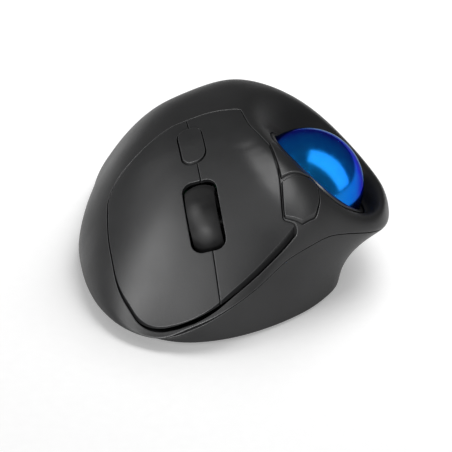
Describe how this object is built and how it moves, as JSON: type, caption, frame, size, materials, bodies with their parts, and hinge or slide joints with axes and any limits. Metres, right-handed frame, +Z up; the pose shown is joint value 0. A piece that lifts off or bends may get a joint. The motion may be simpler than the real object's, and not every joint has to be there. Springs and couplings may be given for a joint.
{
  "type": "trackball mouse",
  "caption": "Right-handed wireless trackball mouse: sloped palm shell, thumb-operated ball, scroll wheel, click plates, thumb buttons and a speed button.",
  "frame": {"origin": "middle of the object's bounding footprint, on the desk plane under the glide feet", "axes": "+X to the user's right, +Y towards the finger end, +Z up; the thumb ball is on the -X side"},
  "size_m": [0.0936, 0.1214, 0.0475],
  "materials": {
    "shell_black": "satin, fine spark-eroded grain",
    "ball_blue": "pearl, polished",
    "bezel_black": "semi-gloss",
    "inner_plastic": "as moulded",
    "hub_plastic": "as moulded",
    "wheel_rubber": "satin",
    "steel": "bright",
    "bearing_ceramic": "polished",
    "feet_rubber": "smooth, low friction",
    "lens_clear": "clear",
    "chip_black": "moulded epoxy",
    "board_green": "solder resist",
    "plunger_red": "as moulded",
    "tact_black": "as moulded",
    "cell_jacket": "printed-film jacket, no text"
  },
  "bodies": {
    "housing": {"upper_shell": "shell_black", "lower_housing": "shell_black", "glide_feet": "feet_rubber", "housing_screws": "steel", "ball_bezel": "bezel_black", "ball_cup": "inner_plastic", "support_bearings": "bearing_ceramic", "sensor_lens": "lens_clear", "sensor_chip": "chip_black", "sensor_board": "board_green", "inner_deck": "inner_plastic", "switch_board": "board_green", "board_screws": "steel", "right_click_switch": "inner_plastic", "left_click_switch": "inner_plastic", "dpi_switch": "tact_black", "wheel_switch": "tact_black", "carrier_pin": "steel", "thumb_board": "board_green", "forward_switch": "tact_black", "main_board": "board_green", "controller_chip": "chip_black", "battery_cell": "cell_jacket", "battery_contact": "steel", "battery_spring": "steel", "power_switch": "inner_plastic"},
    "left_click": {"left_click_plate": "shell_black"},
    "right_click": {"right_click_plate": "shell_black"},
    "left_plunger": {"left_plunger": "plunger_red"},
    "right_plunger": {"right_plunger": "plunger_red"},
    "dpi": {"dpi_button": "shell_black"},
    "back": {"back_button": "shell_black"},
    "forward": {"forward_button": "shell_black"},
    "wheel_carrier": {"wheel_carrier": "inner_plastic", "wheel_encoder": "inner_plastic"},
    "scroll_wheel": {"wheel_tyre": "wheel_rubber", "wheel_hub": "hub_plastic", "wheel_axle": "inner_plastic"},
    "ball": {"trackball": "ball_blue"},
    "power": {"power_slider": "hub_plastic"},
    "door": {"battery_door": "shell_black"}
  },
  "joints": [
    {"name": "ball_roll", "type": "hinge", "parent": "housing", "child": "ball", "pos_m": [-0.021, 0.0205, 0.027], "axis": [1, 0, 0], "continuous": true},
    {"name": "wheel_press", "type": "hinge", "parent": "housing", "child": "wheel_carrier", "pos_m": [0.0108, 0.0177, 0.03056], "axis": [-0.9638, 0.1453, 0.2236], "range_deg": [0, 1.2], "stiffness_Nm_per_rad": 0.35, "springref_deg": -1},
    {"name": "wheel_spin", "type": "hinge", "parent": "wheel_carrier", "child": "scroll_wheel", "pos_m": [0.01096, 0.03059, 0.02287], "axis": [0.9638, -0.1453, -0.2236], "continuous": true},
    {"name": "left_press", "type": "hinge", "parent": "housing", "child": "left_click", "pos_m": [0.004, 0.004, 0.044], "axis": [-1, 0, 0], "range_deg": [0, 0.8], "stiffness_Nm_per_rad": 0.6, "springref_deg": -1},
    {"name": "right_press", "type": "hinge", "parent": "housing", "child": "right_click", "pos_m": [0.025, 0.004, 0.0385], "axis": [-1, 0, 0], "range_deg": [0, 0.8], "stiffness_Nm_per_rad": 0.6, "springref_deg": -1},
    {"name": "left_plunger_slide", "type": "slide", "parent": "housing", "child": "left_plunger", "axis": [-0.2667, -0.5253, -0.8081], "range_m": [0, 0.00065]},
    {"name": "right_plunger_slide", "type": "slide", "parent": "housing", "child": "right_plunger", "axis": [-0.2667, -0.5253, -0.8081], "range_m": [0, 0.00065]},
    {"name": "dpi_press", "type": "slide", "parent": "housing", "child": "dpi", "axis": [0, 0, -1], "range_m": [0, 0.0005], "stiffness_N_per_m": 60, "springref_m": -0.001},
    {"name": "back_press", "type": "slide", "parent": "housing", "child": "back", "axis": [0.6761, 0.113, -0.7281], "range_m": [0, 0.0005], "stiffness_N_per_m": 8, "springref_m": -0.001},
    {"name": "forward_press", "type": "slide", "parent": "housing", "child": "forward", "axis": [0.6761, 0.113, -0.7281], "range_m": [0, 0.0005], "stiffness_N_per_m": 40, "springref_m": -0.001},
    {"name": "power_slide", "type": "slide", "parent": "housing", "child": "power", "axis": [0, 1, 0], "range_m": [0, 0.003]},
    {"name": "door_release", "type": "slide", "parent": "housing", "child": "door", "axis": [0, 0, -1], "range_m": [0, 0.03]}
  ],
  "couplings": [
    {"joint": "left_plunger_slide", "follows": "left_press", "m_per_rad": 0.04396},
    {"joint": "right_plunger_slide", "follows": "right_press", "m_per_rad": 0.04107}
  ]
}
